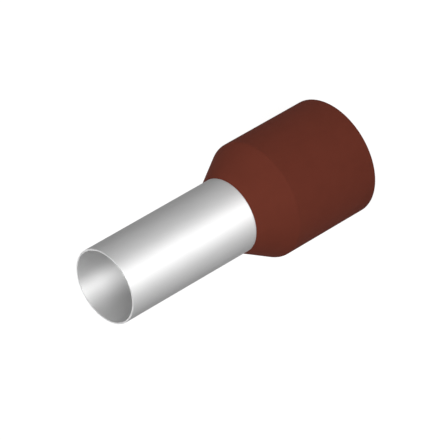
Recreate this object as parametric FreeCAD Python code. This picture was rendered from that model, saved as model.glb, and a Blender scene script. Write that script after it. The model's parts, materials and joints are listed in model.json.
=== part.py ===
"""Insulated wire ferrule for a 25 mm2 stranded conductor, in millimetres.

Two pieces. A thin drawn tube of tinned copper takes the bared strands, and its back end is flared.
A moulded collar grips the tube behind its exposed length, and takes the end of the wire's insulation.
The flare lies on the funnel inside the collar, so the strands slide past it into the tube.

The ferrule stands on the collar's rear rim. The origin is the centre of that rim, and +Z runs along
the common axis, from the end where the wire goes in to the tube's mouth.
"""
import FreeCAD, Part
import math
import os

# The metal sleeve
conductor_bore = 7.3      # inside diameter of the tube
sleeve_wall = 0.2
exposed_length = 16.0     # from the collar's front edge to the tube's mouth
bend_radius = 1.0         # on the outside of the tube, where the flare begins
mouth_edge_radius = 0.04  # the mouth is tumbled smooth; the flare's cut edge is square
rim_setback = 0.3         # the flare's edge stops this much short of the collar's bore, radially

# The insulating collar
insulation_bore = 11.2    # inside diameter of the collar
collar_wall = 0.4
collar_length = 14.0
taper_length = 3.65       # from the shoulder to the collar's front edge
front_lip = 0.05          # thickness of the front edge round the tube
shoulder_radius = 0.4     # between the taper and the barrel, outside
throat_radius = 1.0       # between the funnel and the bore, inside
entry_radius = 0.15       # lets the wire's insulation in
rear_edge_radius = 0.1

# No rounding takes more than this share of the shorter side beside it
rounding_share = 0.45

# Radii that both pieces are worked out from
sleeve_inner = conductor_bore / 2
sleeve_outer = sleeve_inner + sleeve_wall
collar_inner = insulation_bore / 2
collar_outer = collar_inner + collar_wall
front_outer = sleeve_outer + front_lip

# The funnel inside the collar runs parallel to the taper outside it, one wall deep. Ahead of the
# funnel is the neck, which grips the tube.
taper_angle = math.atan2(collar_outer - front_outer, taper_length)
neck_length = (collar_wall - front_lip * math.cos(taper_angle)) / math.sin(taper_angle)

# Heights along the axis
mouth = collar_length + exposed_length
shoulder = collar_length - taper_length
neck_end = collar_length - neck_length


def on_funnel(radius):
    """Height at which the funnel's surface, where the flare lies, has this radius."""
    return neck_end - (radius - sleeve_outer) / math.tan(taper_angle)


def rounded_profile(corners):
    """Closed outline through (radius, height, rounding) corners, each rounded by a tangent arc."""
    points = [FreeCAD.Vector(radius, 0, height) for radius, height, _ in corners]
    edges = []
    arcs = []
    for i, (_, _, rounding) in enumerate(corners):
        corner = points[i]
        back = points[i - 1] - corner
        ahead = points[(i + 1) % len(points)] - corner
        longest_cut = rounding_share * min(back.Length, ahead.Length)
        half_angle = back.getAngle(ahead) / 2
        back.normalize()
        ahead.normalize()
        cut = min(rounding / math.tan(half_angle), longest_cut)
        radius = cut * math.tan(half_angle)
        inward = (back + ahead).normalize()
        middle = corner + inward * (radius / math.sin(half_angle) - radius)
        arcs.append((corner + back * cut, middle, corner + ahead * cut))
    for i, (start, middle, end) in enumerate(arcs):
        if start.distanceToPoint(end) > 0:
            edges.append(Part.Arc(start, middle, end).toShape())
        edges.append(Part.LineSegment(end, arcs[(i + 1) % len(arcs)][0]).toShape())
    return Part.Wire(edges)


def turned(corners):
    """Solid of revolution about the ferrule's axis."""
    profile = Part.Face(rounded_profile(corners))
    return profile.revolve(FreeCAD.Vector(0, 0, 0), FreeCAD.Vector(0, 0, 1), 360)


def metal_sleeve():
    """Tube with a flared back end. Its wall keeps one thickness round the bend and along the flare."""
    rim_radius = collar_inner - rim_setback
    rim_height = on_funnel(rim_radius)
    inner_bend = neck_end - sleeve_wall * math.tan(taper_angle / 2)
    inner_rim_radius = rim_radius - sleeve_wall * math.cos(taper_angle)
    inner_rim_height = rim_height - sleeve_wall * math.sin(taper_angle)
    return turned([
        (sleeve_inner, mouth, mouth_edge_radius),
        (sleeve_outer, mouth, mouth_edge_radius),
        (sleeve_outer, neck_end, bend_radius),
        (rim_radius, rim_height, 0),
        (inner_rim_radius, inner_rim_height, 0),
        (sleeve_inner, inner_bend, bend_radius + sleeve_wall),
    ])


def insulating_collar():
    """Barrel and taper, bored for the insulation, with a funnel that narrows to the neck round the tube."""
    return turned([
        (sleeve_outer, collar_length, 0),
        (front_outer, collar_length, 0),
        (collar_outer, shoulder, shoulder_radius),
        (collar_outer, 0, rear_edge_radius),
        (collar_inner, 0, entry_radius),
        (collar_inner, on_funnel(collar_inner), throat_radius),
        (sleeve_outer, neck_end, bend_radius),
    ])


os.makedirs("parts", exist_ok=True)
for name, piece in (("metal_sleeve", metal_sleeve()), ("insulating_collar", insulating_collar())):
    piece.exportStep(os.path.join("parts", name + ".step"))
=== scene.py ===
"""An insulated wire ferrule that stands on its rear rim: a satin tinned tube in a brown moulded collar."""
import bpy
import json
import math
from mathutils import Matrix, Vector


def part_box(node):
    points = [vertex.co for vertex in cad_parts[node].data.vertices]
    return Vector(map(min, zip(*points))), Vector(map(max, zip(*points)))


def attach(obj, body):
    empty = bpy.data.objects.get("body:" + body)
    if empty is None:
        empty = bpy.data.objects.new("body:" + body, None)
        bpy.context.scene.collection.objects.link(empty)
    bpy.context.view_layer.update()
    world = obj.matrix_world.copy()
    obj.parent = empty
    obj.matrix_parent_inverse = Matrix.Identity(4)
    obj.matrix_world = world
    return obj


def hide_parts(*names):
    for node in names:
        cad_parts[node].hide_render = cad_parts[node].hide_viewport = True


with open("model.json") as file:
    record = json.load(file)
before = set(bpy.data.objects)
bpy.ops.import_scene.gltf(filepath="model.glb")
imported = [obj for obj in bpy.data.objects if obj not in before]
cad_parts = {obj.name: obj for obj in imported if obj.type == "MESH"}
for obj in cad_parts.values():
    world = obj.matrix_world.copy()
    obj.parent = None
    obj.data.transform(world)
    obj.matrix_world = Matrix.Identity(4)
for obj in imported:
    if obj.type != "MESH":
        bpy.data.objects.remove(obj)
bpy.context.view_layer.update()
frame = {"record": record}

MM = 0.001
mounts = {mount["name"]: mount for mount in frame["record"]["mounts"]}

# Sizes that the frame gives
tube_inner = mounts["conductor_bore"]["dims"]["r_mm"] * MM
tube_outer = mounts["terminal_pin"]["dims"]["r_mm"] * MM
collar_inner = mounts["insulation_bore"]["dims"]["r_mm"] * MM
collar_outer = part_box("insulating_collar")[1].x
collar_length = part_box("insulating_collar")[1].z
mouth_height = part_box("metal_sleeve")[1].z
flare_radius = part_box("metal_sleeve")[1].x
tube_wall = tube_outer - tube_inner

# Sizes of the turned forms, the same as the solids have
taper_length = 3.65 * MM
front_lip = 0.05 * MM
shoulder_radius = 0.4 * MM
throat_radius = 1.0 * MM
bend_radius = 1.0 * MM
entry_radius = 0.15 * MM
rear_edge_radius = 0.1 * MM
mouth_edge_radius = 0.04 * MM

# The funnel inside the collar runs parallel to the taper outside it, one wall deep
collar_wall = collar_outer - collar_inner
taper_angle = math.atan2(collar_outer - tube_outer - front_lip, taper_length)
neck_length = (collar_wall - front_lip * math.cos(taper_angle)) / math.sin(taper_angle)
neck_end = collar_length - neck_length

# How finely the pieces are turned
SEGMENTS_ROUND = 192
ROUNDING_STEPS = 8
MERGE_DISTANCE = 0.0001 * MM
LARGE_FACE_WEIGHT = 100    # of 100, so that the largest faces decide the normals beside them

# The photograph: where the tube's mouth is, how large it is, and how the axis runs
PICTURE_SIDE_PX = 440
FOCAL_LENGTH_PX = 4150
MOUTH_PX = (104.75, 286.64)            # from the top left corner
MOUTH_RADIUS_PX = 41.70
AXIS_IN_PICTURE = math.radians(210)    # where +Z points, anticlockwise from the picture's right
CAMERA_ELEVATION = math.radians(34.93)
SENSOR_MM = 36.0
NEAREST_SEEN = 10 * MM

# How the patterns on the surfaces are stretched, how many finer layers they have, and how deep they go.
# The cells of the drawn lines are fifty times as long along the tube as across.
EVEN = (1, 1, 1)
LINE_STRETCH = (1, 1, 0.02)
CLOUD_STRETCH = (1, 1, 0.6)
FINE_DETAIL = 3.0
SOFT_DETAIL = 2.0
RELIEF_DEPTH = 0.01 * MM

# The tinned tube. An edge value below 1 dulls the metal at glancing angles.
TIN_GREYS = (0.79, 0.85)
TIN_LINES_PER_MM = 9.0
TIN_CLOUDS_PER_MM = 0.5
TIN_GRAIN_PER_MM = 22.0
TIN_GRAIN_SHARE = 0.3      # of the relief; the drawn lines have the rest
TIN_BUMP = 0.05
LINE_ROUGHNESS = 0.08      # what the drawn lines add
OUTSIDE_ROUGHNESS = 0.445
OUTSIDE_EDGE = 0.39
BORE_ROUGHNESS = 0.694
# The bore's much lower edge value is painted shade: it darkens the bore's walls at glancing angles
BORE_SHADE_EDGE = 0.1
BORE_BRUSHING = 0.777
BORE_MARGIN = 0.1          # share of the wall that counts as the bore's surface
QUARTER_TURN = 0.25        # turns the brushing so that the bore's highlight runs along it

# The brown plastic
BROWN_RED = 0.111
BROWN_GREEN = 0.0247
BROWN_BLUE = 0.0148
PLASTIC_TINTS = (0.94, 1.06)
PLASTIC_TONE_PER_MM = 0.6
PLASTIC_GRAIN_PER_MM = 12.0
PLASTIC_GRAIN_ROUGHNESS = 0.1
PLASTIC_BUMP = 0.15
PLASTIC_GLOSS = 0.04
PLASTIC_ROUGHNESS = 0.74

# The surroundings. At a level of 1 a white card shows white. Azimuths and elevations are in degrees,
# and azimuth 0 is the camera's side.
WHITE = (1, 1, 1, 1)
SKY_LEVEL = 0.2            # from everywhere
SIDE_AZIMUTH = 88          # and more from one side
SIDE_ELEVATION = 3
SIDE_LEVEL = 0.76
HORIZON_SHINE = 1.1        # how metal shows the horizon in front
HORIZON_BACK = 0.33        # and behind
CEILING_SHINE = 0.27       # and what is overhead
CEILING_BEGINS = 0.35      # sine of the elevation
CEILING_FULL = 0.75

# The floor, and the painted light that metal sees on it
FLOOR_RADIUS = 3000 * MM
FLOOR_COLOUR = (0.8, 0.8, 0.8, 1)
SHADOW_GREY = (0.2, 0.2, 0.2, 1)
FLOOR_WHITE = 0.88         # what the camera's floor glows by, to be white where it has no shadow
FLOOR_PAINTED_SHINE = 0.48         # painted light that metal sees on the floor, fading towards the back
FRONT_AZIMUTH = -12.8
FRONT_PAINTED_POOL = 0.98         # a painted pool of light that metal sees in front, on the key lamp's side
FRONT_NARROWING = 6.1      # power of the cosine that it fades by towards the sides
BACK_PAINTED_POOL = 0.55          # a painted pool of light that metal sees behind
BACK_NARROWING = 6.0

# The lamps. Widths and heights are in millimetres.
KEY_AZIMUTH = -21.8
KEY_ELEVATION = 39
KEY_LEVEL = 0.635
KEY_WIDTH = 130
KEY_HEIGHT = 240
TOP_AZIMUTH = 8
TOP_ELEVATION = 60
TOP_LEVEL = 0.317
TOP_SIDE = 150
BACK_AZIMUTH = 180
BACK_ELEVATION = 15
BACK_LEVEL = 0.2
BACK_SIDE = 150
LAMP_DISTANCE = 350 * MM
LAMP_AIM = 2 / 3           # share of the ferrule's height that the lamps look at

# Sockets of a Mix node that mixes colours, by their place in its lists
MIX_COLOUR_A = 6
MIX_COLOUR_B = 7
MIX_COLOUR_RESULT = 2


class Value:
    """A node's output that takes part in Python expressions. Each operator adds one Math node."""

    def __init__(self, graph, socket):
        self.graph = graph
        self.socket = socket

    def __add__(self, other):
        return self.graph.math("ADD", self, other)

    def __sub__(self, other):
        return self.graph.math("SUBTRACT", self, other)

    def __rsub__(self, other):
        return self.graph.math("SUBTRACT", other, self)

    def __mul__(self, other):
        return self.graph.math("MULTIPLY", self, other)

    __radd__ = __add__
    __rmul__ = __mul__


class Graph:
    """Adds nodes to one tree."""

    def __init__(self, tree):
        self.tree = tree
        self.tree.nodes.clear()

    def node(self, kind, settings, inputs, output=None):
        """One node: its settings first, then its inputs. Gives the named output, or else the node."""
        node = self.tree.nodes.new(kind)
        for name, setting in settings.items():
            setattr(node, name, setting)
        for name, value in inputs.items():
            if isinstance(value, Value):
                self.tree.links.new(value.socket, node.inputs[name])
            else:
                node.inputs[name].default_value = value
        return node if output is None else Value(self, node.outputs[output])

    def math(self, operation, first, second):
        """One Math node on two numbers or values."""
        return self.node("ShaderNodeMath", {"operation": operation}, {0: first, 1: second}, "Value")

    def along(self, vector, direction):
        """How far a vector reaches in one direction."""
        return self.node("ShaderNodeVectorMath", {"operation": "DOT_PRODUCT"},
                         {0: vector, 1: direction}, "Value")

    def object_place(self):
        """The point on the piece, in the piece's own coordinates."""
        return self.node("ShaderNodeTexCoord", {}, {}, "Object")

    def noise(self, stretch, per_mm, detail):
        """Soft noise from 0 to 1. Its cells are per_mm times stretch to the millimetre."""
        mapped = self.node("ShaderNodeMapping", {},
                           {"Vector": self.object_place(), "Scale": [share / MM for share in stretch]},
                           "Vector")
        return self.node("ShaderNodeTexNoise", {},
                         {"Vector": mapped, "Scale": per_mm, "Detail": detail}, "Fac")

    def colour_between(self, factor, first, second):
        """A colour that goes from the first to the second as the factor goes from 0 to 1."""
        return self.node("ShaderNodeMix", {"data_type": "RGBA"},
                         {"Factor": factor, MIX_COLOUR_A: first, MIX_COLOUR_B: second}, MIX_COLOUR_RESULT)


def tidy_mesh(turned, name):
    """The evaluated object as a plain mesh object, with no modifier."""
    bpy.context.view_layer.update()
    evaluated = turned.evaluated_get(bpy.context.evaluated_depsgraph_get())
    mesh = bpy.data.meshes.new_from_object(evaluated)
    mesh.name = name
    piece = bpy.data.objects.new(name, mesh)
    bpy.context.scene.collection.objects.link(piece)
    bpy.data.objects.remove(turned)
    return piece


def turning_tree():
    """Turns a closed outline in the XZ plane round Z. Its corners are rounded by their own radii."""
    tree = bpy.data.node_groups.new("turning", "GeometryNodeTree")
    sockets = (
        ("Outline", "NodeSocketGeometry"),
        ("Turning radius", "NodeSocketFloat"),
        ("Segments round", "NodeSocketInt"),
        ("Rounding steps", "NodeSocketInt"),
        ("Merge distance", "NodeSocketFloat"),
        ("Material", "NodeSocketMaterial"),
    )
    for name, kind in sockets:
        tree.interface.new_socket(name, in_out="INPUT", socket_type=kind)
    tree.interface.new_socket("Turned", in_out="OUTPUT", socket_type="NodeSocketGeometry")

    graph = Graph(tree)
    given = graph.node("NodeGroupInput", {}, {})
    asked = {name: Value(graph, given.outputs[name]) for name, _ in sockets}
    rounding = graph.node("GeometryNodeInputNamedAttribute", {"data_type": "FLOAT"},
                          {"Name": "rounding"}, "Attribute")
    curve = graph.node("GeometryNodeMeshToCurve", {}, {"Mesh": asked["Outline"]}, "Curve")
    rounded = graph.node("GeometryNodeFilletCurve", {"mode": "POLY"},
                         {"Curve": curve, "Count": asked["Rounding steps"], "Radius": rounding,
                          "Limit Radius": True}, "Curve")
    shift = graph.node("ShaderNodeCombineXYZ", {}, {"X": 0 - asked["Turning radius"]}, "Vector")
    laid_flat = graph.node("GeometryNodeTransform", {},
                           {"Geometry": rounded, "Translation": shift,
                            "Rotation": (math.pi / 2, 0, 0)}, "Geometry")
    circle = graph.node("GeometryNodeCurvePrimitiveCircle", {"mode": "RADIUS"},
                        {"Resolution": asked["Segments round"], "Radius": asked["Turning radius"]}, "Curve")
    swept = graph.node("GeometryNodeCurveToMesh", {}, {"Curve": circle, "Profile Curve": laid_flat}, "Mesh")
    merged = graph.node("GeometryNodeMergeByDistance", {},
                        {"Geometry": swept, "Distance": asked["Merge distance"]}, "Geometry")
    smooth = graph.node("GeometryNodeSetShadeSmooth", {}, {"Geometry": merged}, "Geometry")
    realized = graph.node("GeometryNodeRealizeInstances", {}, {"Geometry": smooth}, "Geometry")
    finished = graph.node("GeometryNodeSetMaterial", {},
                          {"Geometry": realized, "Material": asked["Material"]}, "Geometry")
    graph.node("NodeGroupOutput", {}, {"Turned": finished})
    return tree


def turned_piece(name, corners, material, tree):
    """A piece turned from (radius, height, rounding) corners, as a plain mesh."""
    outline = bpy.data.meshes.new(name + "_outline")
    edges = [(i, (i + 1) % len(corners)) for i in range(len(corners))]
    outline.from_pydata([(radius, 0, height) for radius, height, _ in corners], edges, [])
    rounding = outline.attributes.new("rounding", "FLOAT", "POINT")
    rounding.data.foreach_set("value", [corner[2] for corner in corners])
    turned = bpy.data.objects.new(name + "_turned", outline)
    bpy.context.scene.collection.objects.link(turned)

    modifier = turned.modifiers.new("turning", "NODES")
    modifier.node_group = tree
    values = {
        "Turning radius": (tube_inner + collar_outer) / 2,
        "Segments round": SEGMENTS_ROUND,
        "Rounding steps": ROUNDING_STEPS,
        "Merge distance": MERGE_DISTANCE,
        "Material": material,
    }
    identifiers = {item.name: item.identifier
                   for item in tree.interface.items_tree if item.in_out == "INPUT"}
    for label, value in values.items():
        modifier[identifiers[label]] = value
    # Long plain stretches keep straight normals up to their rounded corners
    weighted = turned.modifiers.new("weighted", "WEIGHTED_NORMAL")
    weighted.mode = "FACE_AREA"
    weighted.weight = LARGE_FACE_WEIGHT
    return tidy_mesh(turned, name)


def on_funnel(radius):
    """Height at which the funnel's surface, where the flare lies, has this radius."""
    return neck_end - (radius - tube_outer) / math.tan(taper_angle)


def tube_corners():
    """The tube's wall, from its mouth to the flared end."""
    inner_bend = neck_end - tube_wall * math.tan(taper_angle / 2)
    rim_height = on_funnel(flare_radius)
    inner_rim_radius = flare_radius - tube_wall * math.cos(taper_angle)
    inner_rim_height = rim_height - tube_wall * math.sin(taper_angle)
    return [
        (tube_inner, mouth_height, mouth_edge_radius),
        (tube_outer, mouth_height, mouth_edge_radius),
        (tube_outer, neck_end, bend_radius),
        (flare_radius, rim_height, 0),
        (inner_rim_radius, inner_rim_height, 0),
        (tube_inner, inner_bend, bend_radius + tube_wall),
    ]


def collar_corners():
    """The collar's wall: taper, barrel, rear rim, bore, funnel and neck."""
    return [
        (tube_outer, collar_length, 0),
        (tube_outer + front_lip, collar_length, 0),
        (collar_outer, collar_length - taper_length, shoulder_radius),
        (collar_outer, 0, rear_edge_radius),
        (collar_inner, 0, entry_radius),
        (collar_inner, on_funnel(collar_inner), throat_radius),
        (tube_outer, neck_end, bend_radius),
    ]


def new_material(name):
    """A material, and the graph that fills its tree."""
    material = bpy.data.materials.new(name)
    material.use_nodes = True
    return material, Graph(material.node_tree)


def inside_the_bore(graph):
    """1 on the tube's inner wall, 0 on the outside."""
    across = graph.node("ShaderNodeVectorMath", {"operation": "MULTIPLY"},
                        {0: graph.object_place(), 1: (1, 1, 0)}, "Vector")
    radius = graph.node("ShaderNodeVectorMath", {"operation": "LENGTH"}, {0: across}, "Value")
    return graph.math("LESS_THAN", radius, tube_inner + BORE_MARGIN * tube_wall)


def tinned_copper():
    """Satin tin on drawn copper: fine lines along the tube, faint clouds, brushing round the bore, and
    painted shade in the bore's darker edge colour.
    """
    material, graph = new_material("tinned_copper")
    drawn_lines = graph.noise(LINE_STRETCH, TIN_LINES_PER_MM, FINE_DETAIL)
    clouds = graph.noise(CLOUD_STRETCH, TIN_CLOUDS_PER_MM, SOFT_DETAIL)
    grain = graph.noise(EVEN, TIN_GRAIN_PER_MM, SOFT_DETAIL)
    dull, bright = [(grey, grey, grey, 1) for grey in TIN_GREYS]
    relief = drawn_lines * (1 - TIN_GRAIN_SHARE) + grain * TIN_GRAIN_SHARE
    bump = graph.node("ShaderNodeBump", {},
                      {"Strength": TIN_BUMP, "Distance": RELIEF_DEPTH, "Height": relief}, "Normal")
    tin = {"Base Color": graph.colour_between(clouds, dull, bright), "Metallic": 1.0, "Normal": bump}
    outside = graph.node("ShaderNodeBsdfPrincipled", {},
                         {**tin, "Roughness": drawn_lines * LINE_ROUGHNESS + OUTSIDE_ROUGHNESS,
                          "Specular Tint": (OUTSIDE_EDGE, OUTSIDE_EDGE, OUTSIDE_EDGE, 1)}, "BSDF")
    # The inner wall's darker edge colour is painted shade in the bore
    inside = graph.node("ShaderNodeBsdfPrincipled", {},
                        {**tin, "Roughness": drawn_lines * LINE_ROUGHNESS + BORE_ROUGHNESS,
                         "Specular Tint": (BORE_SHADE_EDGE, BORE_SHADE_EDGE, BORE_SHADE_EDGE, 1),
                         "Anisotropic": BORE_BRUSHING, "Anisotropic Rotation": QUARTER_TURN}, "BSDF")
    surface = graph.node("ShaderNodeMixShader", {}, {0: inside_the_bore(graph), 1: outside, 2: inside},
                         "Shader")
    graph.node("ShaderNodeOutputMaterial", {}, {"Surface": surface})
    return material


def brown_plastic():
    """Moulded polypropylene: even brown with a fine grain and a soft sheen."""
    material, graph = new_material("brown_plastic")
    tone = graph.noise(EVEN, PLASTIC_TONE_PER_MM, SOFT_DETAIL)
    grain = graph.noise(EVEN, PLASTIC_GRAIN_PER_MM, FINE_DETAIL)
    darker, paler = [[channel * tint for channel in (BROWN_RED, BROWN_GREEN, BROWN_BLUE)] + [1]
                     for tint in PLASTIC_TINTS]
    bump = graph.node("ShaderNodeBump", {},
                      {"Strength": PLASTIC_BUMP, "Distance": RELIEF_DEPTH, "Height": grain}, "Normal")
    surface = graph.node("ShaderNodeBsdfPrincipled", {},
                         {"Base Color": graph.colour_between(tone, darker, paler),
                          "Roughness": grain * PLASTIC_GRAIN_ROUGHNESS + PLASTIC_ROUGHNESS,
                          "Specular IOR Level": PLASTIC_GLOSS, "Normal": bump}, "BSDF")
    graph.node("ShaderNodeOutputMaterial", {}, {"Surface": surface})
    return material


def kinds_of_ray(graph):
    """Three values, each 1 for its own rays: from the camera, by reflection, and through glass."""
    rays = graph.node("ShaderNodeLightPath", {}, {})
    return [Value(graph, rays.outputs[name]) for name in
            ("Is Camera Ray", "Is Glossy Ray", "Is Transmission Ray")]


def towards(azimuth, elevation):
    """Unit vector in degrees. Azimuth 0 is the camera's side, and a positive one lies towards +X."""
    turn = math.radians(azimuth)
    rise = math.radians(elevation)
    return Vector((math.cos(rise) * math.sin(turn), -math.cos(rise) * math.cos(turn), math.sin(rise)))


def floor_material():
    """Pale floor, white to the camera. Metal sees painted light on it: white in front and dimmer at the
    sides and behind.
    """
    material, graph = new_material("floor")
    camera, glossy, through = kinds_of_ray(graph)
    outward = graph.node("ShaderNodeVectorMath", {"operation": "NORMALIZE"},
                         {0: graph.object_place()}, "Vector")
    ahead = graph.along(outward, towards(FRONT_AZIMUTH, 0))
    front = graph.math("POWER", graph.math("MAXIMUM", ahead, 0), FRONT_NARROWING)
    back = graph.math("POWER", graph.math("MAXIMUM", 0 - ahead, 0), BACK_NARROWING)
    # Painted light that only reflections see: pools in front and behind, on a level that fades towards the
    # back
    shine = front * FRONT_PAINTED_POOL + back * BACK_PAINTED_POOL + (ahead + 1) * (FLOOR_PAINTED_SHINE / 2)
    level = (camera + through) * FLOOR_WHITE + glossy * shine
    plain = graph.node("ShaderNodeBsdfDiffuse", {}, {"Color": FLOOR_COLOUR}, "BSDF")
    shade = graph.node("ShaderNodeBsdfDiffuse", {}, {"Color": SHADOW_GREY}, "BSDF")
    glow = graph.node("ShaderNodeEmission", {}, {"Color": WHITE, "Strength": level}, "Emission")
    shown = graph.node("ShaderNodeAddShader", {}, {0: shade, 1: glow}, "Shader")
    seen = camera + glossy + through
    lit = graph.node("ShaderNodeMixShader", {}, {0: seen, 1: plain, 2: shown}, "Shader")
    clear = graph.node("ShaderNodeBsdfTransparent", {}, {}, "BSDF")
    below = graph.node("ShaderNodeNewGeometry", {}, {}, "Backfacing")
    surface = graph.node("ShaderNodeMixShader", {}, {0: below, 1: lit, 2: clear}, "Shader")
    graph.node("ShaderNodeOutputMaterial", {}, {"Surface": surface})
    return material


def floor():
    """A wide level floor. It is clear from below and open under the ferrule, so that the underside shows."""
    turns = [2 * math.pi * i / SEGMENTS_ROUND for i in range(SEGMENTS_ROUND)]
    points = [(radius * math.cos(turn), radius * math.sin(turn), 0)
              for radius in (collar_outer - rear_edge_radius, FLOOR_RADIUS) for turn in turns]
    faces = []
    for i in range(SEGMENTS_ROUND):
        following = (i + 1) % SEGMENTS_ROUND
        faces.append((i, i + SEGMENTS_ROUND, following + SEGMENTS_ROUND, following))
    mesh = bpy.data.meshes.new("floor")
    mesh.from_pydata(points, [], faces)
    mesh.materials.append(floor_material())
    piece = bpy.data.objects.new("floor", mesh)
    bpy.context.scene.collection.objects.link(piece)


def surroundings():
    """Soft light from all round, with more from one side.

    The camera sees plain white behind the ferrule. Metal shows it dimmer at the back and overhead.
    """
    world = bpy.data.worlds.new("studio")
    world.use_nodes = True
    graph = Graph(world.node_tree)
    camera, glossy, through = kinds_of_ray(graph)
    direction = graph.node("ShaderNodeTexCoord", {}, {}, "Generated")
    side = graph.along(direction, towards(SIDE_AZIMUTH, SIDE_ELEVATION))
    sky = graph.math("MAXIMUM", side, 0) * SIDE_LEVEL + SKY_LEVEL
    ahead = graph.along(direction, towards(FRONT_AZIMUTH, 0))
    horizon = (ahead + 1) * ((HORIZON_SHINE - HORIZON_BACK) / 2) + HORIZON_BACK
    overhead = graph.node("ShaderNodeMapRange", {},
                          {"Value": graph.along(direction, (0, 0, 1)),
                           "From Min": CEILING_BEGINS, "From Max": CEILING_FULL}, "Result")
    shine = overhead * (CEILING_SHINE - horizon) + horizon
    level = sky + (camera + through) * (1 - sky) + glossy * (shine - sky)
    background = graph.node("ShaderNodeBackground", {}, {"Color": WHITE, "Strength": level}, "Background")
    graph.node("ShaderNodeOutputWorld", {}, {"Surface": background})
    bpy.context.scene.world = world


def softbox(name, azimuth, elevation, width, height, level):
    """A soft lamp that looks at the ferrule. A white card there that faces it shows this level."""
    away = towards(azimuth, elevation)
    lamp = bpy.data.lights.new(name, "AREA")
    lamp.shape = "RECTANGLE"
    lamp.size = width * MM
    lamp.size_y = height * MM
    lamp.energy = level * (math.pi * LAMP_DISTANCE) ** 2
    light = bpy.data.objects.new(name, lamp)
    light.location = Vector((0, 0, mouth_height * LAMP_AIM)) + away * LAMP_DISTANCE
    light.rotation_euler = away.to_track_quat("Z", "Y").to_euler()
    bpy.context.scene.collection.objects.link(light)


def photograph_camera():
    """The photograph's camera. It looks down on the standing ferrule, and is rolled on its side."""
    lens = bpy.data.cameras.new("camera")
    lens.sensor_width = SENSOR_MM
    lens.lens = FOCAL_LENGTH_PX * SENSOR_MM / PICTURE_SIDE_PX
    lens.clip_start = NEAREST_SEEN
    back = Vector((0, -math.cos(CAMERA_ELEVATION), math.sin(CAMERA_ELEVATION)))
    level_right = Vector((1, 0, 0))
    level_up = back.cross(level_right)
    right = math.cos(AXIS_IN_PICTURE) * level_up + math.sin(AXIS_IN_PICTURE) * level_right
    up = back.cross(right)
    # The mouth's radius in the photograph gives its distance, and its place there the camera's
    depth = FOCAL_LENGTH_PX * tube_outer / MOUTH_RADIUS_PX
    px = depth / FOCAL_LENGTH_PX
    mouth = Vector((0, 0, mouth_height))
    centre = PICTURE_SIDE_PX / 2
    place = mouth + right * (centre - MOUTH_PX[0]) * px + up * (MOUTH_PX[1] - centre) * px + back * depth
    turn = Matrix((right, up, back)).transposed()
    camera = bpy.data.objects.new("camera", lens)
    camera.matrix_world = Matrix.Translation(place) @ turn.to_4x4()
    bpy.context.scene.collection.objects.link(camera)
    bpy.context.scene.camera = camera


tree = turning_tree()
tube = turned_piece("ferrule_tube", tube_corners(), tinned_copper(), tree)
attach(tube, "root")
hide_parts("metal_sleeve")

collar = turned_piece("ferrule_collar", collar_corners(), brown_plastic(), tree)
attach(collar, "root")
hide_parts("insulating_collar")

floor()
surroundings()
softbox("key", KEY_AZIMUTH, KEY_ELEVATION, KEY_WIDTH, KEY_HEIGHT, KEY_LEVEL)
softbox("top", TOP_AZIMUTH, TOP_ELEVATION, TOP_SIDE, TOP_SIDE, TOP_LEVEL)
softbox("back", BACK_AZIMUTH, BACK_ELEVATION, BACK_SIDE, BACK_SIDE, BACK_LEVEL)
photograph_camera()
bpy.context.scene.view_settings.view_transform = "Standard"
